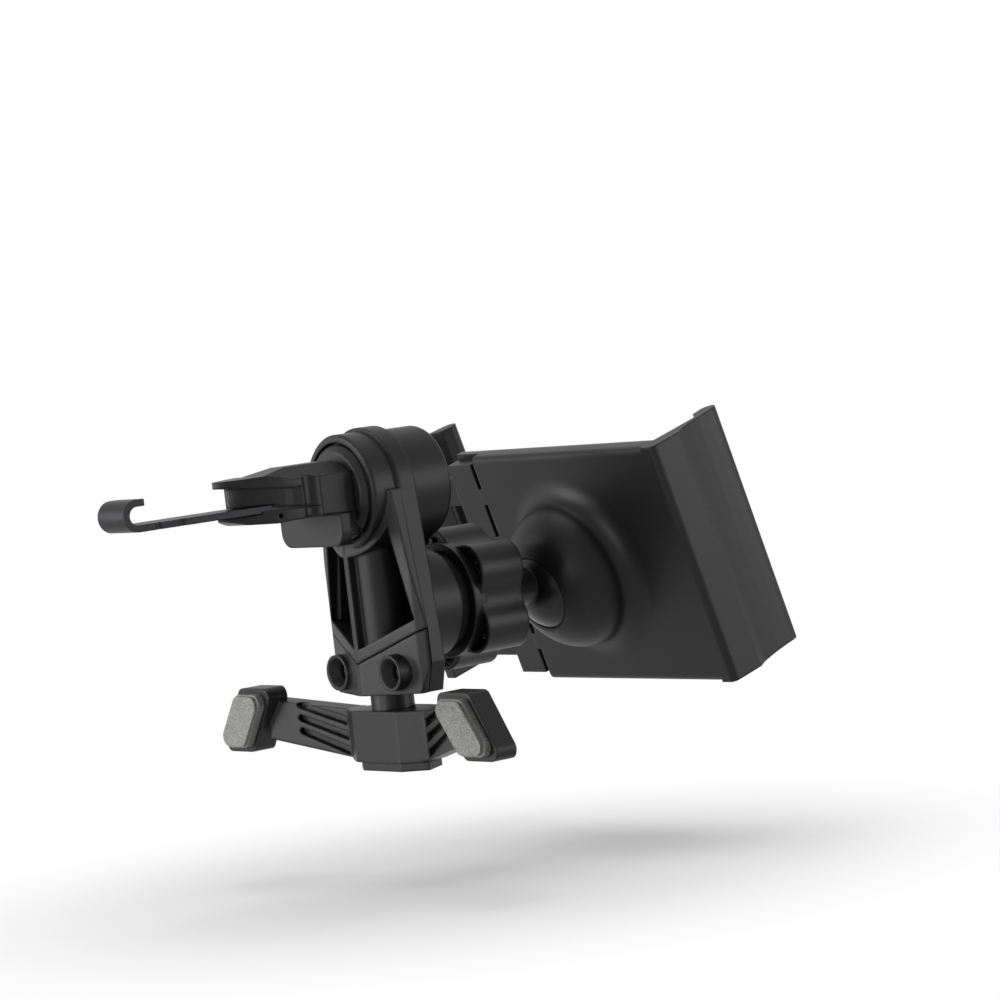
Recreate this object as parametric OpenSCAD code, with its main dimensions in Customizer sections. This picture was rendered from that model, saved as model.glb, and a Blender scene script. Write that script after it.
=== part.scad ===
// Air vent phone holder: a hook and fork that grip a vent louvre, a swivelling
// body with a folding foot, and a ball-jointed cradle with one sliding jaw.
// X runs from the vent to the driver, Y across the car, Z up, in millimetres.
// The origin is the middle of the fork's mouth, where the louvre goes in.

/* [Louvre hook] */
// Height of the fork's mouth, which takes the louvre
mouth_h = 3; // [2.4:0.1:3.2]
// Width of the steel hook strip
hook_w = 7; // [6:0.5:7]
// Thickness of the hook strip
strip_t = 1; // [0.8:0.1:1.1]
// Inside radius of the hook's curl
curl_r = 1.3; // [1.1:0.1:1.6]
// Louvre depth that the hook takes at rest
louvre_depth = 18.4; // [14:0.2:22]
// Radius of the threaded draw rod
rod_r = 1.9; // [1.7:0.1:1.9]
// Travel of the hook towards the fork
hook_in = 6.5; // [4:0.5:6.5]
// Travel of the hook away from the fork
hook_out = 3.5; // [2:0.5:4]

/* [Fork and rotor] */
// Half width of the fork's jaws where they are widest
jaw_hw = 4.4; // [4.2:0.1:4.6]
// Half width of the block behind the jaws
block_hw = 4.9; // [4.7:0.1:5.2]
// Length from the fork's mouth to the barrel's front face
mouth_to_ring = 22; // [21:0.5:25]
// How far the louvre goes into the fork
seat_depth = 2.4; // [1.5:0.1:3]
// Radius of the rotor's disc
rotor_r = 7.1; // [6.9:0.1:7.2]
// Radius of the rotor's shaft
shaft_r = 5; // [4.6:0.1:5.2]
// Half width of the cross plate under the fork
cross_hw = 7.8; // [7:0.2:9]

/* [Barrel and body] */
// Radius of the barrel's front ring
ring_r = 8.55; // [8.4:0.05:8.8]
// Length of the front ring
ring_l = 4.3; // [4:0.1:4.6]
// Thickness of the teardrop plate
plate_t = 2.8; // [2.6:0.1:3.4]
// Radius of the plate round the barrel
plate_r = 9.1; // [9:0.05:9.4]
// Half width of the plate near its foot
plate_hw = 11.4; // [10.8:0.1:12]
// Half width of the nose in front of the plate
nose_hw = 12; // [11.8:0.1:12.3]
// Drop from the barrel's axis to the plate's lower end
body_drop = 29.8; // [29:0.2:31]
// Radius of the tension knob
knob_r = 8.35; // [8:0.05:8.6]
// Length of the tension knob
knob_l = 7; // [6.6:0.1:8]
// Width of the front ridge
ridge_w = 1; // [0.8:0.1:1.4]
// Height of the nose cap under the point of the chevron seam
cap_h = 4.8; // [4.4:0.1:5.4]
// Rise of the seam from its point to the sides
seam_rise = 4.5; // [4:0.1:5]
// Border of the two windows
border = 1.4; // [1.2:0.1:1.6]
// Radius of the screw bosses on the nose cap
boss_r = 2.65; // [2.4:0.05:2.9]

/* [Foot] */
// Radius of the foot's sliding post
post_r = 3.2; // [3:0.1:3.3]
// Travel of the post
post_travel = 8; // [4:1:8]
// Height of the foot's hub
hub_h = 7.6; // [7:0.2:8.4]
// Half width of the hub's top
hub_hw = 10.4; // [9.6:0.2:11]
// Distance from the middle to the inner top corner of a pad
pad_in = 22.8; // [22:0.2:25]
// Width of a pad
pad_w = 6.6; // [6:0.2:8]
// Height of a pad
pad_h = 8.1; // [7:0.1:9]
// Outward slant of a pad over its height
pad_slant = 3.8; // [3:0.2:4.4]
// Thickness of a pad
pad_t = 1.6; // [1.2:0.1:2]
// Depth of the grooves in the arms
groove_d = 1.2; // [0.8:0.1:1.5]

/* [Clamp nut and ball] */
// Drop from the barrel's axis to the neck's axis
neck_drop = 18; // [17.6:0.1:18.6]
// Radius of the neck
neck_r = 8; // [7.8:0.1:8.2]
// Radius of the neck's thread
thread_r = 7.2; // [7:0.1:7.3]
// Lobes of the clamp nut
lobes = 5; // [4:1:6]
// Radius of the nut at its lobes
lobe_r = 10.9; // [10.4:0.1:11.3]
// Radius of the nut between its lobes
valley_r = 8.5; // [8.4:0.1:9]
// Length of the lobed grip
grip_l = 7.5; // [7:0.1:8]
// Radius of the ball
ball_r = 7.6; // [7.5:0.05:7.7]
// Radius of the stem
stem_r = 2.9; // [2.6:0.1:3]
// Distance from the barrel's front face to the ball's centre
ball_reach = 38.7; // [38:0.1:41]

/* [Cradle] */
// Backward tilt of the cradle at rest
cradle_tilt = 16.6; // [5:0.1:18]
// Width of the phone at rest
phone_w = 67; // [62:1:75]
// Thickness of a jaw at its root
jaw_t = 3; // [2.6:0.1:3.6]
// Height of the cradle
cradle_h = 37.8; // [36:0.2:42]
// Distance from the ball's centre to the cradle's back face
back_x = 4.2; // [4.1:0.05:4.4]
// Thickness of the cradle's back wall
wall = 1; // [0.9:0.05:1.1]
// Thickness of the sliding rails
rail_t = 1.4; // [1.2:0.1:1.5]
// Thickness of the front plate
front_t = 1.2; // [1.1:0.05:1.5]
// Thickness of the rubber face
face_t = 0.8; // [0.6:0.1:1.2]
// Sideways offset from the phone's middle to the ball
offset_y = 10; // [9:0.5:11]
// Width of the end collar
collar_w = 6; // [5:0.5:6.5]
// Radius of the dome where it meets the back
dome_r = 15.2; // [14.5:0.1:15.6]
// Radius of the dome's bell
bell_r = 11.3; // [10.8:0.1:11.8]
// Length of the jaws forward of the rubber face
jaw_l = 11.8; // [11:0.2:13]
// Inward curl of the jaws over the phone's front
jaw_lip = 2.1; // [1:0.1:2.6]

/* [Hidden] */
$fn = 72;
eps = 0.01;
black = [0.17, 0.17, 0.18];
soft_black = [0.13, 0.13, 0.14];
steel = [0.30, 0.30, 0.32];
bright = [0.62, 0.62, 0.64];
pad_grey = [0.47, 0.47, 0.48];

// Clearances: a running fit, a sliding fit and a loose gap
run = 0.05;
slip = 0.12;
gap = 0.3;

axis_z = -mouth_h / 2;
strip_top = 0;
strip_low = -strip_t;
curl_out = curl_r + strip_t;
web_nose = seat_depth - mouth_to_ring;
curl_x = web_nose - louvre_depth + curl_r;
curl_tip = 1.3;

// Strip and rod, measured from the barrel's front face
hub_x0 = 0.4;
strip_end = hub_x0 - hook_in - gap;
rod_x0 = -10;
rod_x1 = 6.3;
notch_r = 0.6;
notch_x = [-33.4, -29.5];
rivet_x = strip_end - 1.9;
rivet_r = 0.8;

flange_tip = 0.5 - mouth_to_ring;
lower_tip = 0.8 - mouth_to_ring;
widest_x = -10.9;
waist_x = -8.1;
waist_hw = jaw_hw - 0.55;
waist_r = 1.6;
slit_x = -6.7;
rotor_face = -0.8;
fork_low = -2.5;
block_top = 3.3;
tip_top = 4.25;
flange_t = 0.95;
web_inset = 0.4;
ridge_top = 5.05;

cross_x0 = -5.7;
cross_t = 1.6;
cross_low = -7.2;
cross_corner = 2.3;

plate_x0 = ring_l;
plate_x1 = ring_l + plate_t;
knob_x0 = plate_x1 + slip;
knob_x1 = knob_x0 + knob_l;
circlip_t = 0.8;
hub_r = 3.3;
cup_x = 15;
ridge_x = -0.4;
hip_z = -25.5;
foot_hw = 10;
pocket_x = plate_x1 - 0.8;
core_r = neck_r - 1.6;
core_x = cup_x - 1.6;
post_x = 5;
tube_r = post_r + 0.9;
body_low = -body_drop;
seam_drop = body_drop - cap_h;
seam_gap = 0.2;
boss_y = 6.7;
boss_z = body_low + 3.3;
boss_face = 0.3;
screw_r = 1.2;
screw_shank_r = 0.85;
screw_sink = 2;
slot_d = 0.8;

hub_top = body_low - 2.5;
hub_low = hub_top - hub_h;
hub_front = 1.2;
hub_side = 3.7;
hub_back = 8.8;
plug_t = 1.3;
post_hold = 8.8;
post_top = body_low + post_hold + post_travel;
pad_top = -29.4;
pad_face = -4.1;
holder_x0 = pad_face + pad_t;
holder_x1 = 1;
rim = 0.8;
arm_t = 3;

neck_x1 = 14;
thread_x1 = 21.4;
cup_r = 5.5;
collar_x0 = 15.7;
collar_l = 1.2;
collar_r = 8.6;
pin_at = 9.3;
pin_r = 0.45;
lobe_round = 4;
rim_w = 0.6;
rim_depth = 0.9;
nut_x0 = collar_x0 + collar_l;
nut_x1 = nut_x0 + grip_l;
nut_floor = 21.9;
flange_r = cup_r - 0.15;
washer_t = 1;
flange_x1 = nut_floor - washer_t - run;

// Cradle, measured forward from the ball's centre
liner_t = 0.8;
socket_r = ball_r + run + liner_t + run;
lip_half = 47.5;
lip_in_r = ball_r + 2 * run;
seat_a = 64;
pan_a = 11;
liner_span = 24;
spring_span = 16;
liner_a0 = seat_a + pan_a + 3;
liner_a1 = liner_a0 + liner_span;
spring_a0 = liner_a1 + pan_a + 2;
spring_a1 = spring_a0 + spring_span;
socket_a1 = spring_a0 + spring_span / 2;
ball_flat = 4.3;
bell_x = 1.4;
lip_w = 0.7;
rail_x0 = back_x + wall + slip;
rail_x1 = rail_x0 + rail_t;
front_x0 = rail_x1 + slip;
front_x1 = front_x0 + front_t;
face_x = front_x1 + face_t;
half_h = cradle_h / 2;
fixed_y = offset_y - phone_w / 2;
slide_y = offset_y + phone_w / 2;
fixed_out = fixed_y - jaw_t;
pad_y0 = fixed_y + jaw_lip + 0.4;
collar_y0 = 19;
collar_y1 = collar_y0 + collar_w;
rail_low = 10.6;
rail_high = 15.2;
slide_in = 14;
rail_y0 = fixed_y + wall + 0.5 + slide_in;
bar_w = 3.5;
jaw_gap = 0.15;
edge_r = 1;
head_r = 1.6;
head_t = 0.6;
shank_r = 0.8;
screw_z = 7.6;
seam_slot = 1.1;
chan = 0.15;
tooth_r = 0.5;

// Frames and small helpers

module at_barrel() {
    translate([mouth_to_ring, 0, axis_z])
        children();
}

module at_neck() {
    at_barrel() translate([0, 0, -neck_drop])
        children();
}

module at_cradle() {
    at_neck() translate([ball_reach, 0, 0]) rotate([0, -cradle_tilt, 0])
        children();
}

// A flat outline in Y and Z, drawn out along X
module along_x(x0, x1) {
    translate([x0, 0, 0]) rotate([90, 0, 90])
        linear_extrude(x1 - x0)
            children();
}

// A side outline in X and Z, drawn out across Y
module across_y(half) {
    rotate([90, 0, 0])
        linear_extrude(2 * half, center = true)
            children();
}

module rod_along_x(x0, x1, r) {
    translate([x0, 0, 0]) rotate([0, 90, 0])
        cylinder(h = x1 - x0, r = r);
}

// A turned shape about X, from points of [x, radius]
module turned_x(pts) {
    rotate([0, 90, 0]) rotate_extrude()
        polygon([for (p = pts) [p[1], p[0]]]);
}

module box_at(x0, x1, y0, y1, z0, z1) {
    translate([x0, y0, z0])
        cube([x1 - x0, y1 - y0, z1 - z0]);
}

module both_sides() {
    children();
    mirror([0, 1, 0])
        children();
}

// Hook, rod and rivet

module hook_outline() {
    translate([curl_x, strip_low])
        square([strip_end - curl_x, strip_t]);
    difference() {
        translate([curl_x, curl_r])
            circle(curl_out);
        translate([curl_x, curl_r])
            circle(curl_r);
        translate([curl_x, strip_low - 1])
            square([2 * curl_out, 2 * curl_out + 2]);
    }
    translate([curl_x, 2 * curl_r])
        square([curl_tip, strip_t]);
}

module hook_strip() {
    color(steel) at_barrel() difference() {
        across_y(hook_w / 2)
            hook_outline();
        both_sides()
            for (x = notch_x)
                translate([x, hook_w / 2 + notch_r / 2, strip_low - 1])
                    cylinder(h = strip_t + 2, r = notch_r);
        translate([rivet_x, 0, strip_low - 1])
            cylinder(h = strip_t + 2, r = rivet_r + run);
    }
}

module draw_rod() {
    color(bright) at_barrel() difference() {
        rod_along_x(rod_x0, rod_x1, rod_r);
        box_at(rod_x0 - 1, strip_end, -hook_w, hook_w, strip_low, strip_top);
        translate([rivet_x, 0, -rod_r - 1])
            cylinder(h = 2 * rod_r + 2, r = rivet_r + run);
    }
}

module hook_rivet() {
    color(steel) at_barrel()
        translate([rivet_x, 0, -rod_r + 0.35])
            cylinder(h = 2 * rod_r - 0.7, r = rivet_r);
}

// Fork and rotor

// Plan of the fork: a round-nosed bow, a waist, then the square block
module fork_plan(tip, inset) {
    n = 14;
    bow = [for (i = [0:n]) let (u = pow(i / n, 2))
        [tip + (widest_x - tip) * u, (jaw_hw - inset) * pow(sin(90 * u), 0.55)]];
    difference() {
        union() {
            polygon(concat(bow, [[waist_x, jaw_hw], [waist_x, -jaw_hw]],
                [for (i = [n:-1:1]) [bow[i][0], -bow[i][1]]]));
            translate([waist_x - eps, -block_hw])
                square([rotor_face - waist_x + eps, 2 * block_hw]);
        }
        for (s = [-1, 1])
            translate([waist_x, s * (waist_hw + waist_r)])
                circle(waist_r);
    }
}

// A side outline of the fork, trimmed to its plan
module fork_layer(tip, inset) {
    intersection() {
        across_y(block_hw + 1)
            children();
        translate([0, 0, -10])
            linear_extrude(20)
                fork_plan(tip, inset);
    }
}

module flange_side() {
    polygon([[rotor_face, block_top], [widest_x, block_top + 0.05], [-15, tip_top],
             [flange_tip, tip_top - 0.1], [flange_tip, tip_top - 0.1 - flange_t],
             [web_nose, mouth_h + 0.05], [widest_x, 2.1], [rotor_face, 2.1]]);
}

module web_side() {
    polygon([[rotor_face, 2.3], [widest_x, 2.3], [web_nose, mouth_h + 0.2],
             [web_nose, 0.2], [slit_x, -0.97], [slit_x, fork_low + 0.1],
             [rotor_face, fork_low + 0.1]]);
}

module lower_jaw_side() {
    polygon([[rotor_face, 0], [slit_x, 0], [slit_x, -1.05], [web_nose - 0.3, -0.55],
             [lower_tip, 0], [lower_tip, -1.5],
             [-18, fork_low + 0.1], [-14, fork_low - 0.2],
             [-9, fork_low], [rotor_face, fork_low]]);
}

module top_ridge() {
    low = block_top - 0.3;
    intersection() {
        fork_layer(flange_tip, 0)
            polygon([[-16.5, low], [rotor_face, low], [rotor_face, 4.2],
                     [-2.6, ridge_top], [-10.3, ridge_top], [-14.6, tip_top]]);
        along_x(-18, rotor_face)
            polygon([[-4.6, low], [4.6, low], [1.8, ridge_top], [-1.8, ridge_top]]);
    }
}

module clip_fork() {
    color(black) at_barrel() difference() {
        union() {
            fork_layer(flange_tip, 0)
                flange_side();
            fork_layer(web_nose, web_inset)
                web_side();
            fork_layer(lower_tip, 0)
                lower_jaw_side();
            top_ridge();
        }
        // Channel for the strip and the rod
        box_at(-mouth_to_ring - 1, strip_end + hook_in + slip,
               -hook_w / 2 - slip, hook_w / 2 + slip,
               strip_low - slip, strip_top + slip);
        rod_along_x(rod_x0 - hook_out - gap, rotor_face + 1, rod_r + slip);
        // Small peg hole in the side of the lower jaw
        both_sides()
            translate([-13.4, jaw_hw - 1.4, -1.7])
                rotate([-90, 0, 0])
                    cylinder(h = 2, r = 0.35);
    }
}

module clip_rotor() {
    color(black) at_barrel() difference() {
        union() {
            turned_x([[rotor_face, 0], [rotor_face, rotor_r - 0.9],
                      [0, rotor_r - 0.1], [0.2, rotor_r], [1.1, rotor_r],
                      [1.1, shaft_r], [knob_x0 + 1.5, shaft_r],
                      [knob_x0 + 1.5, 0]]);
            along_x(cross_x0, cross_x0 + cross_t)
                cross_outline();
            box_at(cross_x0 + eps, rotor_face + 0.5, -4.6, 4.6,
                   cross_low + 1.2, fork_low - eps);
        }
        rod_along_x(cross_x0 - 1, knob_x0 + 3, rod_r + slip);
        rod_along_x(hub_x0 - slip, knob_x0 + 3, hub_r + run);
        box_at(rotor_face - 1, strip_end + hook_in + slip,
               -hook_w / 2 - slip, hook_w / 2 + slip,
               strip_low - slip, strip_top + slip);
        // Groove for the circlip
        rotate([0, 90, 0]) translate([0, 0, knob_x0 + 0.2])
            difference() {
                cylinder(h = circlip_t + 2 * run, r = shaft_r + 1);
                translate([0, 0, -1])
                    cylinder(h = circlip_t + 3, r = shaft_r - 0.6);
            }
    }
}

// Cross plate below the fork, with round lower corners
module cross_outline() {
    translate([-cross_hw, cross_low + cross_corner])
        square([2 * cross_hw, fork_low - cross_low - cross_corner]);
    translate([-cross_hw + cross_corner, cross_low])
        square([2 * (cross_hw - cross_corner), cross_corner + eps]);
    for (s = [-1, 1])
        translate([s * (cross_hw - cross_corner), cross_low + cross_corner])
            circle(cross_corner);
}

module rotor_circlip() {
    color(steel) at_barrel() rotate([0, 90, 0])
        translate([0, 0, knob_x0 + 0.2 + run])
            linear_extrude(circlip_t)
                difference() {
                    circle(shaft_r + 0.7);
                    circle(shaft_r - 0.6 + run);
                    translate([0, -0.9])
                        square([shaft_r + 2, 1.8]);
                }
}

module tension_knob() {
    round = 0.5;
    pocket = 1.9;
    pocket_r = shaft_r + 0.9;
    color(black) at_barrel() difference() {
        // Grip, pocket for the rotor's end and circlip, and threaded hub
        turned_x([[hub_x0, 0], [hub_x0, hub_r], [knob_x0 + pocket, hub_r],
                  [knob_x0 + pocket, pocket_r], [knob_x0, pocket_r],
                  [knob_x0, knob_r], [knob_x1 - round, knob_r],
                  [knob_x1 - 0.3 * round, knob_r - 0.3 * round],
                  [knob_x1, knob_r - round], [knob_x1, 0]]);
        // Threaded bore for the draw rod, blind at the back
        rod_along_x(hub_x0 - 1, knob_x1 - 1, rod_r + run);
    }
}

// Body

module plate_outline() {
    circle(plate_r);
    polygon([[-plate_r + 0.04, 0], [-plate_hw, hip_z], [-foot_hw, body_low],
             [foot_hw, body_low], [plate_hw, hip_z], [plate_r - 0.04, 0]]);
}

// Front outline of the nose, a little wider than the plate low down
module nose_outline() {
    circle(plate_r);
    polygon([[-plate_r + 0.04, 0], [-nose_hw, seam_z(nose_hw)], [-nose_hw, hip_z],
             [-foot_hw - 0.4, body_low], [foot_hw + 0.4, body_low],
             [nose_hw, hip_z], [nose_hw, seam_z(nose_hw)], [plate_r - 0.04, 0]]);
}

// Plan of the V-shaped nose, with a shoulder near each side
module nose_plan() {
    shoulder = [plate_x0 - 1.3, nose_hw - border];
    polygon([[plate_x0 + eps, nose_hw + 0.3], shoulder, [ridge_x, ridge_w / 2],
             [ridge_x, -ridge_w / 2], [shoulder[0], -shoulder[1]],
             [plate_x0 + eps, -nose_hw - 0.3]]);
}

module nose_solid() {
    intersection() {
        translate([0, 0, body_low])
            linear_extrude(body_drop)
                nose_plan();
        along_x(ridge_x - 1, plate_x0 + eps)
            nose_outline();
    }
}

// Everything under the chevron seam, shifted down by d
module under_seam(d) {
    reach = 2 * plate_hw;
    rise = seam_rise * reach / plate_hw;
    polygon([[0, -seam_drop - d], [reach, rise - seam_drop - d],
             [reach, body_low - 10], [-reach, body_low - 10],
             [-reach, rise - seam_drop - d]]);
}

function seam_z(y) = -seam_drop + seam_rise * y / plate_hw;

// One window of the nose, between the ridge and the border, out to y1
module window_outline(y1) {
    y0 = ridge_w / 2;
    low = border + 0.4;
    difference() {
        polygon([[y0, -6], [plate_r - border, -4.5], [y1, seam_z(y1) + low],
                 [y0, seam_z(y0) + low]]);
        circle(plate_r + 0.3);
    }
}

module body_frame() {
    color(black) at_barrel() difference() {
        union() {
            turned_x([[0, 0], [0, ring_r - 0.35], [0.35, ring_r],
                      [plate_x0 + eps, ring_r], [plate_x0 + eps, 0]]);
            turned_x([[plate_x0 - 0.02, 0], [plate_x0 - 0.02, plate_r - 0.3],
                      [plate_x0 + 0.4, plate_r], [plate_x1, plate_r],
                      [plate_x1, 0]]);
            along_x(plate_x0, plate_x1)
                plate_outline();
            difference() {
                nose_solid();
                along_x(ridge_x - 2, plate_x0)
                    under_seam(0);
                both_sides()
                    along_x(ridge_x - 2, plate_x0 + 1)
                        window_outline(nose_hw - border);
            }
            translate([0, 0, -neck_drop])
                turned_x([[plate_x0 + 1, 0], [plate_x0 + 1, neck_r],
                          [neck_x1 - 0.3, neck_r], [neck_x1, neck_r - 0.3],
                          [neck_x1, thread_r], [thread_x1, thread_r],
                          [thread_x1, 0]]);
        }
        // Pockets behind the windows, round the guide tube
        difference() {
            both_sides() {
                along_x(plate_x0 - 0.5, pocket_x)
                    window_outline(plate_hw - border);
                intersection() {
                    along_x(plate_x0, core_x)
                        window_outline(plate_hw - border);
                    translate([0, 0, -neck_drop])
                        rod_along_x(plate_x0, core_x, core_r);
                }
            }
            translate([post_x, 0, body_low])
                cylinder(h = body_drop - plate_r, r = tube_r);
        }
        // Bearings for the rotor
        rod_along_x(-1, 1.2, rotor_r + 0.35);
        rod_along_x(-1, plate_x1 + 1, shaft_r + run);
        // Guide for the post
        translate([post_x, 0, body_low - 1])
            cylinder(h = body_drop + post_top + 2, r = post_r + run);
        // Cup for the stem's flange
        translate([0, 0, -neck_drop])
            rod_along_x(cup_x, thread_x1 + 1, cup_r);
        // Pilot holes for the nose screws
        both_sides()
            translate([0, boss_y, boss_z])
                rod_along_x(plate_x0 - 1, plate_x1 - 0.5, screw_shank_r + run);
    }
    color(black) at_barrel() guide_tube();
}

// Front wall of the guide tube, seen through the windows
module guide_tube() {
    difference() {
        intersection() {
            translate([post_x, 0, -seam_drop])
                cylinder(h = seam_drop - plate_r + 0.5, r = tube_r);
            along_x(0, plate_x0 + 0.3)
                translate([-tube_r, -seam_drop])
                    square([2 * tube_r, seam_drop]);
        }
        along_x(-1, plate_x0 + 1)
            under_seam(0);
        translate([post_x, 0, body_low - 1])
            cylinder(h = body_drop + post_top + 2, r = post_r + run);
    }
}

module nose_cap() {
    color(black) at_barrel() difference() {
        union() {
            intersection() {
                nose_solid();
                along_x(ridge_x - 2, plate_x0 - seam_gap)
                    under_seam(seam_gap);
            }
            both_sides()
                translate([0, boss_y, boss_z])
                    rod_along_x(boss_face, plate_x0 - seam_gap, boss_r);
        }
        both_sides() translate([0, boss_y, boss_z]) {
            turned_x([[boss_face - eps, 0], [boss_face - eps, boss_r - 0.4],
                      [boss_face + 1.6, screw_r + run],
                      [plate_x0 + 1, screw_r + run], [plate_x0 + 1, 0]]);
        }
        // Way for the post
        translate([post_x, 0, body_low - 1])
            cylinder(h = body_drop, r = post_r + 0.2);
    }
}

module nose_screws() {
    color(steel) at_barrel()
        both_sides() translate([0, boss_y, boss_z]) difference() {
            union() {
                rod_along_x(boss_face + screw_sink, plate_x0, screw_r);
                rod_along_x(plate_x0 - eps, plate_x1 - 0.8, screw_shank_r);
            }
            along_x(boss_face + 1, boss_face + screw_sink + slot_d)
                for (a = [0, 90])
                    rotate(a)
                        square([0.3, 1.6], center = true);
        }
}

// Foot

module foot_post() {
    low = hub_low + 1.2;
    color(steel) at_barrel() translate([post_x, 0, 0])
        difference() {
            union() {
                translate([0, 0, hub_top])
                    cylinder(h = post_top - hub_top, r = post_r);
                translate([0, 0, low])
                    cylinder(h = hub_top - low + eps, r = 2.2);
            }
            translate([0, 0, low - 1])
                cylinder(h = 6, r = 0.85);
        }
}

// Plan of the hub and its two arms
module bracket_plan() {
    arm_end = [holder_x0 + 1.4, pad_in + 1.5];
    dir = arm_end - [hub_side, hub_hw - 1];
    len = norm(dir);
    side = [dir[1], -dir[0]] / len * arm_t;
    polygon([[hub_front, 5.5], [hub_side, hub_hw], [hub_back, 6.5],
             [hub_back, -6.5], [hub_side, -hub_hw], [hub_front, -5.5]]);
    for (s = [-1, 1])
        scale([1, s])
            polygon([[hub_side, hub_hw - 2], arm_end, arm_end + side,
                     [hub_side, hub_hw - 2] + side]);
}

// Front view of the foot: arms that rise and narrow towards the holders
module bracket_front() {
    top0 = hub_top;
    top1 = pad_top - 0.8;
    low0 = hub_low;
    low1 = pad_top - pad_h + 1.6;
    reach = pad_in + 4;
    polygon([[-reach, low1], [-8.3, low0], [8.3, low0], [reach, low1],
             [reach, top1], [hub_hw - 0.5, top0], [-hub_hw + 0.5, top0],
             [-reach, top1]]);
}

// Outline of one pad, slanted outwards, larger by d all round
module pad_outline(d) {
    r = 1.4;
    y0 = pad_in - d;
    y1 = pad_in + pad_w + d;
    z1 = pad_top + d;
    z0 = pad_top - pad_h - d;
    slope = pad_slant / pad_h;
    low_shift = slope * (pad_top - z0);
    high_shift = slope * (pad_top - z1);
    hull() {
        translate([y0 + high_shift + r, z1 - r])
            circle(r, $fn = 24);
        translate([y1 + high_shift - r, z1 - r])
            circle(r, $fn = 24);
        translate([y0 + low_shift + r, z0 + r])
            circle(r, $fn = 24);
        translate([y1 + low_shift - r, z0 + r])
            circle(r, $fn = 24);
    }
}

// Three long grooves down the front of one arm
module arm_grooves() {
    dir = [holder_x0 + 1.4, pad_in + 1.5] - [hub_side, hub_hw - 1];
    turn = atan2(-dir[0], dir[1]);
    for (i = [0:2]) {
        z_in = hub_top - 1.9 - i * 2.25;
        z_out = pad_top - 2.1 - i * 1.95;
        translate([hub_side, hub_hw - 2, 0]) rotate([0, 0, turn])
            translate([groove_d, 0, 0]) rotate([0, -90, 0])
                linear_extrude(groove_d + 2)
                    polygon([[z_in - 0.65, 1.6], [z_in + 0.65, 1.6],
                             [z_out + 0.55, 10.4], [z_out, 10.9],
                             [z_out - 0.55, 10.4]]);
    }
}

module foot_bracket() {
    color(black) at_barrel() difference() {
        union() {
            intersection() {
                translate([0, 0, hub_low])
                    linear_extrude(hub_h + 6)
                        bracket_plan();
                along_x(-12, 12)
                    bracket_front();
            }
            both_sides()
                along_x(holder_x0, holder_x1)
                    pad_outline(rim);
        }
        both_sides()
            arm_grooves();
        translate([post_x, 0, hub_low + 1])
            cylinder(h = hub_h + 2, r = 2.2 + run);
        translate([post_x, 0, hub_low - 1])
            cylinder(h = 3, r = 1);
        translate([post_x, 0, hub_low - 1])
            cylinder(h = 1.9, r = 2.1);
    }
}

module foot_screw() {
    color(steel) at_barrel() translate([post_x, 0, 0]) difference() {
        union() {
            translate([0, 0, hub_low + 0.1])
                cylinder(h = 0.8, r = 1.9);
            translate([0, 0, hub_low + 0.85])
                cylinder(h = 4, r = 0.8);
        }
        translate([0, 0, hub_low - 0.5])
            linear_extrude(1)
                for (a = [0, 90])
                    rotate(a)
                        square([0.5, 2.4], center = true);
    }
}

module foot_plug() {
    color(black) at_barrel()
        translate([0, 0, hub_low - plug_t])
            linear_extrude(plug_t)
                polygon([[hub_front + 0.5, 4.8], [hub_side + 0.4, hub_hw - 1.8],
                         [hub_back - 0.4, 5.8], [hub_back - 0.4, -5.8],
                         [hub_side + 0.4, -hub_hw + 1.8],
                         [hub_front + 0.5, -4.8]]);
}

module foot_pad() {
    round = 0.5;
    at_barrel() {
        along_x(pad_face + round, holder_x0)
            pad_outline(0);
        along_x(pad_face, pad_face + round + eps)
            pad_outline(-round / 2);
    }
}

module foot_pad_left() {
    color(pad_grey)
        foot_pad();
}

module foot_pad_right() {
    color(pad_grey)
        mirror([0, 1, 0])
            foot_pad();
}

// Clamp nut, washer and ball stem

// Outline of the lobed grip, made of arcs, set inwards by d all round
module lobe_outline(d) {
    lobe_at = lobe_r - lobe_round;
    half = 180 / lobes;
    a = valley_r - lobe_round;
    valley_at = (pow(lobe_at, 2) - pow(a, 2)) / (2 * lobe_at * cos(half) - 2 * a);
    difference() {
        union() {
            polygon([for (i = [0:2 * lobes - 1])
                let (r = i % 2 == 0 ? lobe_at : valley_at)
                [r * cos(half * (i - 1)), r * sin(half * (i - 1))]]);
            for (i = [0:lobes - 1])
                rotate(half * (2 * i - 1)) translate([lobe_at, 0])
                    circle(lobe_round - d);
        }
        for (i = [0:lobes - 1])
            rotate(half * 2 * i) translate([valley_at, 0])
                circle(valley_at - valley_r + d);
    }
}

module clamp_nut() {
    color(black) at_neck() rotate([180, 0, 0]) difference() {
        union() {
            rod_along_x(collar_x0, nut_x0 + rim_depth, collar_r);
            // Raised rim round a shallow recess in the front of the lobes
            difference() {
                along_x(nut_x0, nut_x1)
                    lobe_outline(0);
                along_x(nut_x0 - 1, nut_x0 + rim_depth)
                    lobe_outline(rim_w);
            }
            for (i = [0:lobes - 1])
                rotate([180 / lobes * (2 * i - 1), 0, 0]) translate([0, pin_at, 0])
                    rod_along_x(nut_x0 + 0.3, nut_x0 + rim_depth + eps, pin_r);
        }
        rod_along_x(collar_x0 - 1, nut_floor, thread_r + slip);
        rod_along_x(nut_floor - 1, nut_x1 + 1, stem_r + 0.7);
    }
}

module thrust_washer() {
    color(bright) at_neck()
        rotate([0, 90, 0]) translate([0, 0, nut_floor - washer_t])
            difference() {
                cylinder(h = washer_t, r = cup_r - 0.3);
                translate([0, 0, -1])
                    cylinder(h = washer_t + 2, r = stem_r + 0.35);
            }
}

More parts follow.
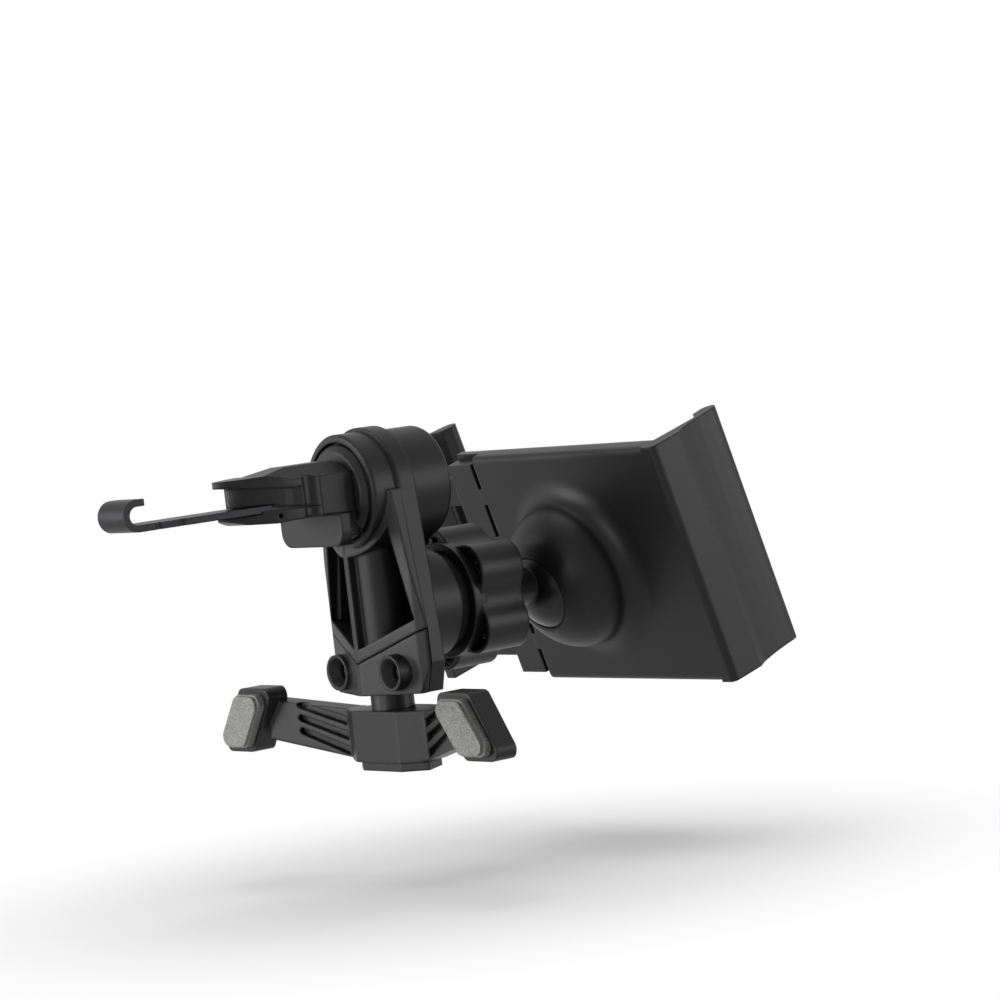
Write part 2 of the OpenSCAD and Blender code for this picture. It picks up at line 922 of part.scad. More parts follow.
module ball_stem() {
    waist = sqrt(pow(ball_r, 2) - pow(stem_r, 2));
    color(steel) at_neck() {
        turned_x([[cup_x + slip, 0], [cup_x + slip, flange_r],
                  [flange_x1, flange_r], [flange_x1, stem_r],
                  [ball_reach - waist + 0.5, stem_r],
                  [ball_reach - waist + 0.5, 0]]);
        translate([ball_reach, 0, 0])
            rotate([0, 90, 0])
                ball();
    }
}

// Ball with a flat on its far side
module ball() {
    difference() {
        sphere(ball_r);
        translate([-ball_r, -ball_r, ball_flat])
            cube(2 * ball_r);
    }
}

// Ring of a round shell about the ball, from one angle off the mouth to another
module shell_ring(r0, r1, a0, a1) {
    intersection() {
        difference() {
            sphere(r1);
            sphere(r0);
        }
        rod_along_x(-r1 * cos(a0), -r1 * cos(a1), r1 + 1);
    }
}

module ball_liner() {
    color(bright) at_cradle()
        shell_ring(ball_r + run, ball_r + run + liner_t, liner_a0, liner_a1);
}

module pressure_cup() {
    color(bright) at_cradle()
        shell_ring(ball_r + run, ball_r + run + liner_t, spring_a0, spring_a1);
}

// Cradle

// Dome profile: a rounded bell that spreads into the back face through a fillet
module dome_outline() {
    mouth_x = -ball_r * cos(lip_half);
    mouth_r = ball_r * sin(lip_half) + lip_w;
    a0 = 35;
    wide = (bell_r - mouth_r) / (1 - sin(a0));
    deep = (bell_x - mouth_x) / cos(a0);
    n = 16;
    polygon(concat(
        [[0, mouth_x]],
        [for (i = [0:n]) let (a = a0 + (90 - a0) * i / n)
            [bell_r - wide * (1 - sin(a)), bell_x - deep * cos(a)]],
        [for (i = [1:n]) let (a = 90 * i / n)
            [bell_r + (dome_r - bell_r) * (1 - cos(a)), bell_x + (back_x - bell_x) * sin(a)]],
        [[dome_r, back_x + 0.3], [0, back_x + 0.3]]));
}

// A jaw seen from above: round root, a crease, then a curve to a round tip
module jaw_outline_2d(side) {
    tip = face_x + jaw_l;
    r = edge_r;
    scale([1, side])
        polygon(concat(
            [for (i = [0:5]) let (a = 90 * i / 5)
                [back_x + r - r * cos(a), jaw_t - r + r * sin(a)]],
            [[face_x + 1, jaw_t], [face_x + 2.8, jaw_t - 0.95],
             [face_x + 4.6, jaw_t - 1.45], [face_x + 6.8, jaw_t - 1.95],
             [face_x + 9, jaw_t - 2.3], [tip - 1.4, jaw_t - 2.45],
             [tip - 0.5, jaw_t - 2.8], [tip, jaw_t - 3.5], [tip - 0.1, jaw_t - 4.3],
             [tip - 0.7, -jaw_lip + 0.2], [tip - 1.4, -jaw_lip],
             [tip - 3.5, 0.4 - jaw_lip], [face_x + 7, 0.05],
             [face_x + 3, jaw_gap], [back_x, jaw_gap]]));
}

// The two rail channels, larger than the rails by c
module rails(y0, y1, c) {
    for (s = [-1, 1])
        box_at(rail_x0 - c, rail_x1 + c, y0, y1,
               s > 0 ? rail_low - c : -rail_high - c,
               s > 0 ? rail_high + c : -rail_low + c);
}

module housing_box() {
    corner = 1.2;
    r = edge_r;
    intersection() {
        along_x(back_x, front_x0)
            polygon([[fixed_out, -half_h], [collar_y0 - corner, -half_h],
                     [collar_y0, -half_h + corner], [collar_y0, half_h - corner],
                     [collar_y0 - corner, half_h], [fixed_out, half_h]]);
        across_y(2 * phone_w)
            polygon(concat(
                [[front_x0, -half_h], [front_x0, half_h]],
                [for (i = [0:5]) let (a = 90 * i / 5)
                    [back_x + r - r * sin(a), half_h - r + r * cos(a)]],
                [for (i = [0:5]) let (a = 90 * i / 5)
                    [back_x + r - r * cos(a), -half_h + r - r * sin(a)]]));
        translate([0, 0, -half_h - 1])
            linear_extrude(cradle_h + 2)
                polygon(concat(
                    [[front_x0, fixed_out], [front_x0, collar_y0], [back_x, collar_y0]],
                    [for (i = [0:5]) let (a = 90 * i / 5)
                        [back_x + r - r * cos(a), fixed_out + r - r * sin(a)]]));
    }
}

module cradle_back() {
    color(black) at_cradle() difference() {
        union() {
            housing_box();
            rotate([0, 90, 0]) rotate_extrude()
                dome_outline();
            translate([0, fixed_y, -half_h])
                linear_extrude(cradle_h)
                    jaw_outline_2d(-1);
        }
        // Socket, its lip and the way out for the stem
        rotate([0, 90, 0]) rotate_extrude()
            socket_outline();
        // Hollow between the back wall and the front plate
        difference() {
            box_at(back_x + wall, front_x0 + eps, fixed_y + 1, collar_y0 + 1,
                   -half_h + wall, half_h - wall);
            // Bosses that take the front plate's screws
            screw_places()
                rod_along_x(back_x, front_x0, shank_r + 1);
            rotate([0, 90, 0])
                translate([0, 0, back_x])
                    cylinder(h = 1.6, r = socket_r + 1);
        }
        screw_places()
            rod_along_x(back_x + wall, front_x0 + 1, shank_r + run);
        // Black slots of the end seam
        for (s = [-1, 1]) {
            box_at(back_x - 1, back_x + wall - 0.2, collar_y0 - seam_slot, collar_y0 + 1,
                   s > 0 ? 13.6 : -half_h - 1, s > 0 ? half_h + 1 : -13.6);
            box_at(back_x - 1, back_x + wall - 0.2, collar_y0 - seam_slot, collar_y0 + 1,
                   s > 0 ? 5.6 : -11, s > 0 ? 11 : -5.6);
        }
        // Seat for the jaw's rubber lining
        box_at(face_x + 1.2, face_x + 6.2, fixed_y - 0.65, fixed_y + 1,
               -half_h + 2.5, half_h - 2.5);
    }
}

// Half section of the socket: narrow lip, liner seat, open front
module socket_outline() {
    n = 12;
    out_x = -ball_r * cos(lip_half) - 3;
    open_x = front_x0 + 1;
    polygon(concat(
        [[0, out_x], [ball_r * sin(lip_half), out_x]],
        [for (i = [0:n]) let (a = lip_half + (seat_a - lip_half) * i / n)
            [lip_in_r * sin(a), -lip_in_r * cos(a)]],
        [for (i = [0:n]) let (a = seat_a + (socket_a1 - seat_a) * i / n)
            [socket_r * sin(a), -socket_r * cos(a)]],
        [[socket_r * sin(socket_a1) + 0.15, open_x], [0, open_x]]));
}

module screw_places() {
    for (y = [fixed_y + 4, collar_y0 - 3])
        for (z = [-screw_z, screw_z])
            translate([0, y, z])
                children();
}

module cradle_front() {
    color(soft_black) at_cradle() difference() {
        box_at(front_x0, front_x1, fixed_y, collar_y1, -half_h + 0.3, half_h - 0.3);
        screw_places() {
            rod_along_x(front_x0 - 1, front_x1 + 1, shank_r + slip);
            rod_along_x(front_x1 - 2 * run - head_t, front_x1 + 1, head_r + 2 * run);
        }
    }
}

module cradle_screws() {
    color(steel) at_cradle()
        screw_places() difference() {
            union() {
                rod_along_x(front_x1 - run - head_t, front_x1 - run, head_r);
                rod_along_x(back_x + wall + 0.2, front_x1 - head_t, shank_r);
            }
            along_x(front_x1 - 0.35, front_x1 + 1)
                for (a = [0, 90])
                    rotate(a)
                        square([0.35, 1.8], center = true);
        }
}

module cradle_face_pad() {
    color(pad_grey) at_cradle()
        along_x(front_x1, face_x)
            difference() {
                translate([pad_y0, -half_h + 1.6])
                    square([collar_y1 - 1.2 - pad_y0, cradle_h - 3.2]);
                // Grip grooves
                for (i = [-3:3])
                    translate([pad_y0 + 4, i * 4.6 - 0.4])
                        square([collar_y1 - pad_y0 - 9.2, 0.8]);
            }
}

module end_collar() {
    color(black) at_cradle() difference() {
        box_at(back_x + 0.2, front_x0, collar_y0, collar_y1,
               -half_h + 1.2, half_h - 1.2);
        rails(collar_y0 - 1, collar_y1 + 1, chan);
        // Lightening hollow between the two rail channels
        box_at(rail_x0 - chan, front_x0 - 0.6, collar_y0 + 1, collar_y1 + 1,
               -rail_low + 1, rail_low - 1);
    }
}

module sliding_jaw() {
    color(black) at_cradle() difference() {
        translate([0, slide_y, -half_h])
            linear_extrude(cradle_h)
                jaw_outline_2d(1);
        box_at(face_x + 1.2, face_x + 6.2, slide_y - 1, slide_y + 0.65,
               -half_h + 2.5, half_h - 2.5);
    }
}

// The two rails and the bar that ties them to the jaw
module jaw_bridge() {
    color(soft_black) at_cradle() difference() {
        union() {
            rails(rail_y0, slide_y + jaw_gap, 0);
            box_at(rail_x0, rail_x1, slide_y - bar_w, slide_y + jaw_gap,
                   -rail_high, rail_high);
        }
        // Teeth of the friction brake
        for (y = [rail_y0 + 3:2.4:collar_y0 - 3])
            translate([rail_x0 - 1, y, rail_low])
                rotate([0, 90, 0])
                    cylinder(h = rail_t + 2, r = tooth_r, $fn = 24);
    }
}

module rail_brake() {
    color(bright) at_cradle()
        box_at(rail_x0 + 0.2, rail_x1 - 0.2, collar_y0 - 8, collar_y0 - 1,
               rail_low - 1.1, rail_low - gap);
}

module sliding_jaw_pad() {
    color(pad_grey) at_cradle()
        box_at(face_x + 1.25, face_x + 6.15, slide_y + 0.05, slide_y + 0.65,
               -half_h + 2.55, half_h - 2.55);
}

module fixed_jaw_pad() {
    color(pad_grey) at_cradle()
        box_at(face_x + 1.25, face_x + 6.15, fixed_y - 0.65, fixed_y - 0.05,
               -half_h + 2.55, half_h - 2.55);
}

hook_strip();
draw_rod();
hook_rivet();
clip_fork();
clip_rotor();
rotor_circlip();
tension_knob();
body_frame();
nose_cap();
nose_screws();
foot_post();
foot_bracket();
foot_screw();
foot_plug();
foot_pad_left();
foot_pad_right();
thrust_washer();
clamp_nut();
ball_stem();
ball_liner();
pressure_cup();
cradle_back();
cradle_front();
cradle_screws();
cradle_face_pad();
end_collar();
sliding_jaw();
jaw_bridge();
rail_brake();
sliding_jaw_pad();
fixed_jaw_pad();
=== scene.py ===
# %% [markdown]
# Air vent phone holder. A steel hook and a plastic fork grip one louvre of a car's air vent.
# A turning body hangs from them, with a foot that rests on the vent's face, and a lobed nut
# that clamps a ball joint. The ball carries a cradle with one fixed and one sliding jaw.
# The solids come ready from the CAD model. This lesson gives them light and finishes, and
# adds the rings of the neck's thread. The first step loads the solids.

# %% Load the frame
import math

import bpy
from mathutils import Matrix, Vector


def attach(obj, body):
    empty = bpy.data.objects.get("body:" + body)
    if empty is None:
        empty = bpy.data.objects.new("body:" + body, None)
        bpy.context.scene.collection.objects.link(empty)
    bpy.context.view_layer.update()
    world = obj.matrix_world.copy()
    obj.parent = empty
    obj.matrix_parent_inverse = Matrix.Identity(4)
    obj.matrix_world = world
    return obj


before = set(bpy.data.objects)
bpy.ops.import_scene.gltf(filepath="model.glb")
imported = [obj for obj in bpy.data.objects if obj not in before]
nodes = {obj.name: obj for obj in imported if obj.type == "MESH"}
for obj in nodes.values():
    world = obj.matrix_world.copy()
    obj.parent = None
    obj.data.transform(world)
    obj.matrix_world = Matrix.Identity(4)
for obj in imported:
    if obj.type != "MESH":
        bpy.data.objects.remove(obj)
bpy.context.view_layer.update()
MM = 0.001

# %% [markdown]
# The camera. The photograph looks at the back of the holder from the vent's side, almost
# level. A longer lens further off would flatten the holder and a shorter one would swell the
# near jaw, so place, turn and lens were worked out together, by least squares, from the photograph.

# %% Camera
CAMERA_AT = (-308.69 * MM, -482.77 * MM, 26.19 * MM)
CAMERA_TURN = (86.909, 6.667, -37.026)
LENS = 144.86
CAMERA_NEAR = 10 * MM

camera_data = bpy.data.cameras.new("photo_camera")
camera_data.lens = LENS
camera_data.clip_start = CAMERA_NEAR
camera = bpy.data.objects.new("photo_camera", camera_data)
camera.location = CAMERA_AT
camera.rotation_euler = [math.radians(a) for a in CAMERA_TURN]
bpy.context.scene.collection.objects.link(camera)
bpy.context.scene.camera = camera
print("Camera distance in mm:", round(camera.location.length / MM))

# %% [markdown]
# Small helpers. Colours are written as web colours, which are sRGB, while Blender's nodes
# want linear light, so one function turns them round. Another adds one node to any tree,
# sets it and links it. With both, a material below reads like a short recipe.

# %% Colour and node helpers
def linear(hex_colour):
    """Turns a web colour such as #2b2b2d into Blender's linear red, green, blue and alpha."""
    parts = [int(hex_colour[i:i + 2], 16) / 255 for i in (1, 3, 5)]
    return [p / 12.92 if p <= 0.04045 else ((p + 0.055) / 1.055) ** 2.4 for p in parts] + [1.0]


def add(tree, kind, values=None, links=None, **settings):
    """Adds one node: settings are its properties, values its sockets, links what feeds them."""
    node = tree.nodes.new(kind)
    for name, value in settings.items():
        setattr(node, name, value)
    for name, value in (values or {}).items():
        node.inputs[name].default_value = value
    for name, source in (links or {}).items():
        tree.links.new(source, node.inputs[name])
    return node


print("Mid grey in linear light:", round(linear("#808080")[0], 3))

# %% [markdown]
# The studio. The photograph has pure white behind the holder. The floor is a pale sheet of
# paper. Close to the holder it is seen as it is, with the shadow on it, and further out it
# fades into the white of the world. Rays that mirror or pass through see that white as well,
# so that shiny pieces reflect the same studio that the camera sees.

# %% Floor
FLOOR_DROP = 60 * MM
FLOOR_HALF = 3.0
SHADOW_NEAR = 20 * MM
SHADOW_FAR = 95 * MM
HOLDER_MIDDLE_X = 30 * MM

floor_mesh = bpy.data.meshes.new("studio_floor")
floor_mesh.from_pydata(
    [(x * FLOOR_HALF, y * FLOOR_HALF, -FLOOR_DROP) for x, y in ((-1, -1), (1, -1), (1, 1), (-1, 1))],
    [], [(0, 1, 2, 3)])
studio_floor = bpy.data.objects.new("studio_floor", floor_mesh)
bpy.context.scene.collection.objects.link(studio_floor)

pale = bpy.data.materials.new("pale_studio_paper")
pale.use_nodes = True
paper_tree = pale.node_tree
paper_tree.nodes.clear()
floor_place = add(paper_tree, "ShaderNodeTexCoord").outputs["Object"]
from_middle = add(paper_tree, "ShaderNodeVectorMath",
                  {1: (-HOLDER_MIDDLE_X, 0, FLOOR_DROP)}, {0: floor_place}, operation="ADD")
reach = add(paper_tree, "ShaderNodeVectorMath", None, {0: from_middle.outputs[0]}, operation="LENGTH")
fade = add(paper_tree, "ShaderNodeMapRange",
           {"From Min": SHADOW_NEAR, "From Max": SHADOW_FAR}, {"Value": reach.outputs["Value"]},
           interpolation_type="SMOOTHSTEP")
path = add(paper_tree, "ShaderNodeLightPath")
seen_far = add(paper_tree, "ShaderNodeMath", None,
               {0: path.outputs["Is Camera Ray"], 1: fade.outputs["Result"]}, operation="MULTIPLY")
or_mirror = add(paper_tree, "ShaderNodeMath", None,
                {0: seen_far.outputs[0], 1: path.outputs["Is Glossy Ray"]}, operation="MAXIMUM")
or_through = add(paper_tree, "ShaderNodeMath", None,
                 {0: or_mirror.outputs[0], 1: path.outputs["Is Transmission Ray"]}, operation="MAXIMUM")
paper = add(paper_tree, "ShaderNodeBsdfDiffuse", {"Color": linear("#fafafa")})
glow = add(paper_tree, "ShaderNodeEmission", {"Color": linear("#ffffff"), "Strength": 1.0})
faded = add(paper_tree, "ShaderNodeMixShader", None,
            {0: or_through.outputs[0], 1: paper.outputs[0], 2: glow.outputs[0]})
add(paper_tree, "ShaderNodeOutputMaterial", None, {"Surface": faded.outputs[0]})
floor_mesh.materials.append(pale)
print("The floor lies", round(FLOOR_DROP / MM), "mm under the origin")

# %% [markdown]
# The world. The camera, mirrors and glass see plain white, at a strength of 1. What falls on
# matt surfaces is much dimmer, because an even light from all sides would make black plastic
# look flat. The lamps do the rest.

# %% World
WORLD_LIGHT = 0.2

world = bpy.data.worlds.new("studio_world")
bpy.context.scene.world = world
world.use_nodes = True
sky = world.node_tree
sky.nodes.clear()
path = add(sky, "ShaderNodeLightPath")
dim = add(sky, "ShaderNodeBackground", {"Color": linear("#ffffff"), "Strength": WORLD_LIGHT})
white = add(sky, "ShaderNodeBackground", {"Color": linear("#ffffff"), "Strength": 1.0})
seen = path.outputs["Is Camera Ray"]
mirrored = path.outputs["Is Glossy Ray"]
through = path.outputs["Is Transmission Ray"]
or_gloss = add(sky, "ShaderNodeMath", None, {0: seen, 1: mirrored}, operation="MAXIMUM")
or_glass = add(sky, "ShaderNodeMath", None, {0: or_gloss.outputs[0], 1: through}, operation="MAXIMUM")
mix_world = add(sky, "ShaderNodeMixShader", None,
                {0: or_glass.outputs[0], 1: dim.outputs[0], 2: white.outputs[0]})
add(sky, "ShaderNodeOutputWorld", None, {"Surface": mix_world.outputs[0]})
bpy.context.scene.view_settings.view_transform = "Standard"
print("World light on the object:", WORLD_LIGHT)

# %% [markdown]
# Two tall soft boxes stand level with the holder, one on each side of the camera's line, and a
# third faces the cradle's back. Black plastic shows form by what it mirrors, so the boxes are
# placed where the faces that look left and the faces that look right mirror them, and the tops
# stay dark. A weak lamp above keeps the shadow on the floor. Area lamps are used, because a
# point lamp gives hard sparks.

# %% Lamps
LAMP_AIM = (38, 0, -15)


def soft_lamp(name, place, width, height, watts):
    """An area lamp that looks at the holder's middle. Place and size are in millimetres."""
    data = bpy.data.lights.new(name, "AREA")
    data.shape = "RECTANGLE"
    data.size = width * MM
    data.size_y = height * MM
    data.energy = watts
    lamp = bpy.data.objects.new(name, data)
    lamp.location = Vector(place) * MM
    look = (Vector(LAMP_AIM) - Vector(place)).normalized()
    lamp.rotation_euler = look.to_track_quat("-Z", "Y").to_euler()
    bpy.context.scene.collection.objects.link(lamp)


soft_lamp("left_softbox", (-420, 250, 20), width=220, height=420, watts=4.6)
soft_lamp("right_softbox", (420, -400, -20), width=220, height=420, watts=2.2)
soft_lamp("front_softbox", (-520, -60, -40), width=220, height=260, watts=2.4)
soft_lamp("top_lamp", (30, 40, 520), width=300, height=300, watts=0.6)

# %% [markdown]
# Materials. The holder is moulded in black ABS. The mould's faces are spark eroded, which
# leaves a fine even grain and a satin sheen, so the recipe is a dark base, a rough gloss and
# a grain a few tenths of a millimetre wide. Real moulded edges are never knife sharp. The
# Bevel node rounds the shading there, so that edges catch a thin bright line.

# %% Moulded plastic and rubber
CLOUD = 14 * MM
CLOUD_SHARE = 0.5
DARK_UP_TO = 0.55
GLOSSIER_BY = 0.04
ROUGHER_BY = 0.06
BEVEL_SAMPLES = 6


def moulded(name, dark, light, roughness, shine, grain_mm, grain_depth_mm, edge_mm):
    """A moulded surface: two close colours, a rough gloss that wanders, grain and soft edges.

    shine is the share of Blender's usual mirror strength, grain_mm the width of one grain,
    grain_depth_mm its depth and edge_mm the radius that edges seem to have.
    """
    material = bpy.data.materials.new(name)
    material.use_nodes = True
    tree = material.node_tree
    tree.nodes.clear()
    place = add(tree, "ShaderNodeTexCoord").outputs["Object"]
    grain = add(tree, "ShaderNodeTexNoise",
                {"Scale": 1 / (grain_mm * MM), "Detail": 2.0, "Roughness": 0.6}, {"Vector": place})
    cloud = add(tree, "ShaderNodeTexNoise", {"Scale": 1 / CLOUD, "Detail": 3.0}, {"Vector": place})
    mixed = add(tree, "ShaderNodeMath", {1: CLOUD_SHARE},
                {0: cloud.outputs["Fac"], 2: grain.outputs["Fac"]}, operation="MULTIPLY_ADD")
    colour = add(tree, "ShaderNodeValToRGB", None, {"Fac": mixed.outputs[0]})
    colour.color_ramp.elements[0].position = DARK_UP_TO
    colour.color_ramp.elements[0].color = linear(dark)
    colour.color_ramp.elements[1].position = 1.0
    colour.color_ramp.elements[1].color = linear(light)
    gloss = add(tree, "ShaderNodeMapRange",
                {"To Min": roughness - GLOSSIER_BY, "To Max": roughness + ROUGHER_BY},
                {"Value": cloud.outputs["Fac"]})
    edge = add(tree, "ShaderNodeBevel", {"Radius": edge_mm * MM}, samples=BEVEL_SAMPLES)
    bump = add(tree, "ShaderNodeBump", {"Strength": 1.0, "Distance": grain_depth_mm * MM},
               {"Height": grain.outputs["Fac"], "Normal": edge.outputs["Normal"]})
    shader = add(tree, "ShaderNodeBsdfPrincipled", {"IOR": 1.5, "Specular IOR Level": shine},
                 {"Base Color": colour.outputs["Color"], "Roughness": gloss.outputs["Result"],
                  "Normal": bump.outputs["Normal"]})
    add(tree, "ShaderNodeOutputMaterial", None, {"Surface": shader.outputs[0]})
    return material


# Spark eroded ABS: the eye sees a deep grey black with broad soft highlights
satin_abs = moulded("satin_black_abs", "#101011", "#161617", roughness=0.42, shine=0.2,
                    grain_mm=0.35, grain_depth_mm=0.01, edge_mm=0.5)
# Smooth ABS on the covers that hide inside: a little glossier
smooth_abs = moulded("smooth_black_abs", "#0e0e0f", "#131314", roughness=0.32, shine=0.18,
                     grain_mm=0.5, grain_depth_mm=0.006, edge_mm=0.25)
# Acetal, turned and left smooth: the ball and its stem shine more than the rest
black_acetal = moulded("black_acetal", "#111112", "#151516", roughness=0.28, shine=0.25,
                       grain_mm=0.6, grain_depth_mm=0.003, edge_mm=0.1)
# Black lacquer on the turned post: smooth, with a soft upright highlight
black_lacquer = moulded("black_lacquer", "#0e0e0f", "#131314", roughness=0.34, shine=0.2,
                        grain_mm=0.7, grain_depth_mm=0.003, edge_mm=0.15)
# Acetal in its natural colour: the hidden bearing pieces look like pale wax
natural_acetal = moulded("natural_acetal", "#c9c6be", "#d6d3cb", roughness=0.4, shine=0.5,
                         grain_mm=0.6, grain_depth_mm=0.004, edge_mm=0.1)
# Thermoplastic rubber, grey, with a coarse dusty grain: the foot's pads look dry and soft
grey_rubber = moulded("grey_foot_rubber", "#4c4c4b", "#7e7e7c", roughness=0.8, shine=0.18,
                      grain_mm=0.2, grain_depth_mm=0.04, edge_mm=0.35)
# Silicone rubber, black and matt: the gripping faces swallow the light
black_silicone = moulded("black_silicone", "#101011", "#181819", roughness=0.62, shine=0.25,
                         grain_mm=0.4, grain_depth_mm=0.02, edge_mm=0.2)
print("Moulded finishes:", satin_abs.name, black_acetal.name, grey_rubber.name)

# %% [markdown]
# Metals. The hook, its rivet and the two screws of the nose are steel with a thin black coating,
# dark but still metallic. The rod, washer, circlip and inner screws are zinc plated, a pale grey
# metal with a faint brushed grain. Metal keeps Blender's own IOR: its colour does the work.

# %% Steel
STREAK_STRETCH = 0.08
STREAK_DEPTH = 0.004 * MM
STREAK_DARK_TO = 0.3
STREAK_LIGHT_FROM = 0.8
STREAK_GLOSSIER = 0.05
STREAK_ROUGHER = 0.08


def steel(name, dark, light, roughness, streak_mm, edge_mm):
    """A plated or coated metal: fine streaks along X change its colour and gloss a little."""
    material = bpy.data.materials.new(name)
    material.use_nodes = True
    tree = material.node_tree
    tree.nodes.clear()
    place = add(tree, "ShaderNodeTexCoord").outputs["Object"]
    along = add(tree, "ShaderNodeMapping", {"Scale": (STREAK_STRETCH, 1.0, 1.0)}, {"Vector": place})
    streak = add(tree, "ShaderNodeTexNoise", {"Scale": 1 / (streak_mm * MM), "Detail": 4.0},
                 {"Vector": along.outputs["Vector"]})
    colour = add(tree, "ShaderNodeValToRGB", None, {"Fac": streak.outputs["Fac"]})
    colour.color_ramp.elements[0].position = STREAK_DARK_TO
    colour.color_ramp.elements[0].color = linear(dark)
    colour.color_ramp.elements[1].position = STREAK_LIGHT_FROM
    colour.color_ramp.elements[1].color = linear(light)
    gloss = add(tree, "ShaderNodeMapRange",
                {"To Min": roughness - STREAK_GLOSSIER, "To Max": roughness + STREAK_ROUGHER},
                {"Value": streak.outputs["Fac"]})
    edge = add(tree, "ShaderNodeBevel", {"Radius": edge_mm * MM}, samples=BEVEL_SAMPLES)
    bump = add(tree, "ShaderNodeBump", {"Strength": 0.6, "Distance": STREAK_DEPTH},
               {"Height": streak.outputs["Fac"], "Normal": edge.outputs["Normal"]})
    shader = add(tree, "ShaderNodeBsdfPrincipled", {"Metallic": 1.0},
                 {"Base Color": colour.outputs["Color"], "Roughness": gloss.outputs["Result"],
                  "Normal": bump.outputs["Normal"]})
    add(tree, "ShaderNodeOutputMaterial", None, {"Surface": shader.outputs[0]})
    return material


# Spring steel under a black coating: dark, with soft metallic highlights
coated_steel = steel("black_coated_steel", "#242425", "#323234", roughness=0.46,
                     streak_mm=0.5, edge_mm=0.2)
# Zinc plate: pale grey, faintly streaked
zinc_steel = steel("zinc_plated_steel", "#9a9a9c", "#b4b4b6", roughness=0.32,
                   streak_mm=0.4, edge_mm=0.1)
print("Metals:", coated_steel.name, zinc_steel.name)

# %% [markdown]
# Which finish goes where. Each CAD node already carries a plain material. Swapping it in the
# object's material slots keeps the solid as it is and only changes what the eye sees.

# %% Dress the CAD nodes
FINISHES = {
    coated_steel: ["hook_strip", "hook_rivet", "nose_screws"],
    black_lacquer: ["foot_post"],
    zinc_steel: ["draw_rod", "rotor_circlip", "foot_screw", "thrust_washer", "cradle_screws"],
    satin_abs: ["clip_fork", "clip_rotor", "tension_knob", "body_frame", "nose_cap", "foot_bracket",
                "foot_plug", "clamp_nut", "cradle_back", "end_collar", "sliding_jaw"],
    smooth_abs: ["cradle_front", "jaw_bridge"],
    black_acetal: ["ball_stem"],
    natural_acetal: ["ball_liner", "pressure_cup", "rail_brake"],
    grey_rubber: ["foot_pad_left", "foot_pad_right"],
    black_silicone: ["cradle_face_pad", "sliding_jaw_pad", "fixed_jaw_pad"],
}
for material, names in FINISHES.items():
    for name in names:
        nodes[name].data.materials.clear()
        nodes[name].data.materials.append(material)
undressed = sorted(set(nodes) - {name for names in FINISHES.values() for name in names})
print("Nodes without a finish:", undressed)

# %% [markdown]
# The thread on the neck. The clamp nut runs on it, and a ring or two shows in the gap between
# the body and the nut's collar. A thread could be a swept helix. Rings side by side look the
# same at this size and stay simple, so Geometry Nodes put one ring at each step along the neck.
# The distances are those of the CAD model: the barrel's face, its axis and the neck below it.

# %% Thread rings with Geometry Nodes
BARREL_X = 22 * MM
BARREL_Z = -1.5 * MM
NECK_DROP = 18 * MM
THREAD_START = 14.6 * MM
THREAD_RADIUS = 7.2 * MM
THREAD_WIRE = 0.1 * MM
THREAD_STEP = 0.75 * MM
THREAD_RINGS = 9
RING_SIDES = 72
WIRE_SIDES = 6


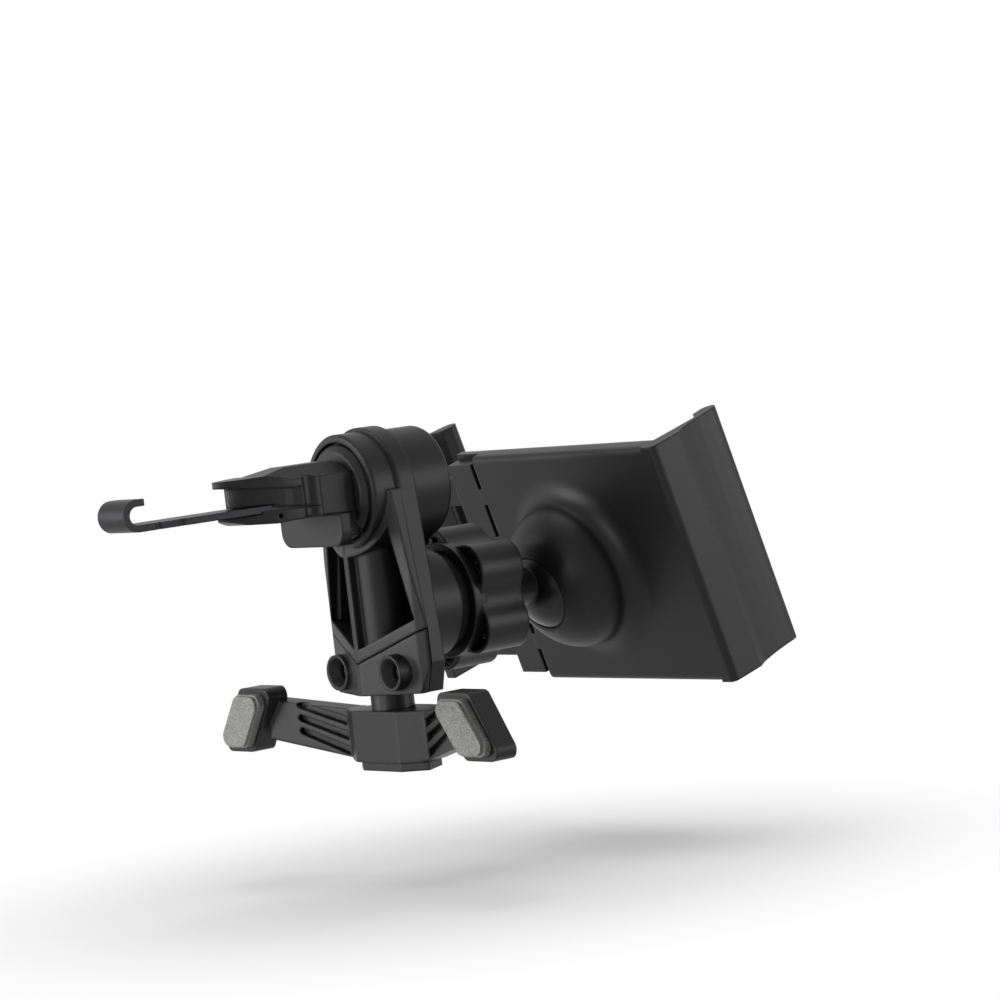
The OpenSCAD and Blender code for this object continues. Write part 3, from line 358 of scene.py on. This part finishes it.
def ring_tree(name, material):
    """Rings round the X axis, one at each step: radius, wire radius, step and count are inputs."""
    tree = bpy.data.node_groups.new(name, "GeometryNodeTree")
    face = tree.interface
    face.new_socket("Rings", in_out="OUTPUT", socket_type="NodeSocketGeometry")
    for label in ("Ring radius", "Wire radius", "Step"):
        face.new_socket(label, in_out="INPUT", socket_type="NodeSocketFloat")
    face.new_socket("Count", in_out="INPUT", socket_type="NodeSocketInt")
    face.new_socket("Start", in_out="INPUT", socket_type="NodeSocketVector")
    given = add(tree, "NodeGroupInput")
    circle = add(tree, "GeometryNodeCurvePrimitiveCircle", {"Resolution": RING_SIDES},
                 {"Radius": given.outputs["Ring radius"]})
    wire = add(tree, "GeometryNodeCurvePrimitiveCircle", {"Resolution": WIRE_SIDES},
               {"Radius": given.outputs["Wire radius"]})
    ring = add(tree, "GeometryNodeCurveToMesh", None,
               {"Curve": circle.outputs["Curve"], "Profile Curve": wire.outputs["Curve"]})
    turned = add(tree, "GeometryNodeTransform", {"Rotation": (0, math.radians(90), 0)},
                 {"Geometry": ring.outputs["Mesh"]})
    offset = add(tree, "ShaderNodeCombineXYZ", None, {"X": given.outputs["Step"]})
    line = add(tree, "GeometryNodeMeshLine", None,
               {"Count": given.outputs["Count"], "Start Location": given.outputs["Start"],
                "Offset": offset.outputs["Vector"]})
    placed = add(tree, "GeometryNodeInstanceOnPoints", None,
                 {"Points": line.outputs["Mesh"], "Instance": turned.outputs["Geometry"]})
    real = add(tree, "GeometryNodeRealizeInstances", None, {"Geometry": placed.outputs["Instances"]})
    dressed = add(tree, "GeometryNodeSetMaterial", {"Material": material},
                  {"Geometry": real.outputs["Geometry"]})
    add(tree, "NodeGroupOutput", None, {"Rings": dressed.outputs["Geometry"]})
    return tree


def grow(name, tree, values, body):
    """Runs a Geometry Nodes tree with named inputs and keeps the result as a plain mesh piece."""
    seed = bpy.data.objects.new(name + "_seed", bpy.data.meshes.new(name + "_seed"))
    bpy.context.scene.collection.objects.link(seed)
    modifier = seed.modifiers.new(name, "NODES")
    modifier.node_group = tree
    for item in tree.interface.items_tree:
        if item.in_out == "INPUT" and item.name in values:
            modifier[item.identifier] = values[item.name]
    graph = bpy.context.evaluated_depsgraph_get()
    mesh = bpy.data.meshes.new_from_object(seed.evaluated_get(graph))
    mesh.name = name
    piece = bpy.data.objects.new(name, mesh)
    bpy.context.scene.collection.objects.link(piece)
    bpy.data.objects.remove(seed)
    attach(piece, body)
    print(name, "faces:", len(mesh.polygons))


thread_tree = ring_tree("thread_rings", satin_abs)
grow("neck_thread", thread_tree,
     {"Ring radius": THREAD_RADIUS, "Wire radius": THREAD_WIRE, "Step": THREAD_STEP,
      "Count": THREAD_RINGS, "Start": (BARREL_X + THREAD_START, 0, BARREL_Z - NECK_DROP)},
     "housing")
